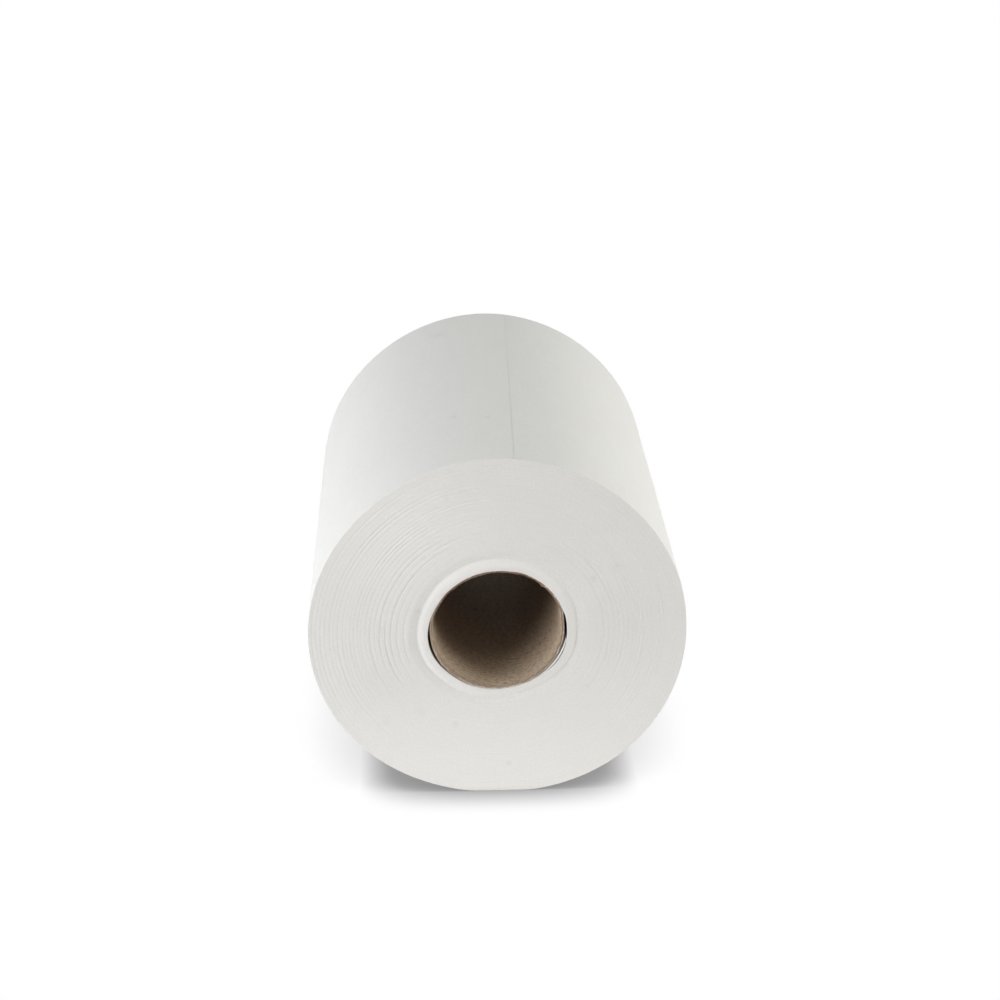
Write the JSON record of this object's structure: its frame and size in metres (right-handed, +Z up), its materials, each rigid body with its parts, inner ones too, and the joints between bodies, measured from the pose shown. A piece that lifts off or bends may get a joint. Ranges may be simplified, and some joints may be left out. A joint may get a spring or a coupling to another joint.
{
  "type": "paper towel roll",
  "caption": "White paper towel wound on a brown board core, lying on a small flat spot, with the turns showing as stepped rings on its ends and the loose tail on top.",
  "frame": {"origin": "on the surface below the roll, at the middle of the flat spot that it rests on", "axes": "+Y along the roll's axis, away from the end that faces the viewer; +Z up; +X to the right"},
  "size_m": [0.1738, 0.201, 0.1712],
  "materials": {
    "tissue_paper": "matt creped tissue, off-white",
    "core_board": "plain spiral-wound grey-brown board"
  },
  "bodies": {
    "root": {"paper_roll": "tissue_paper", "core": "core_board"}
  },
  "joints": []
}
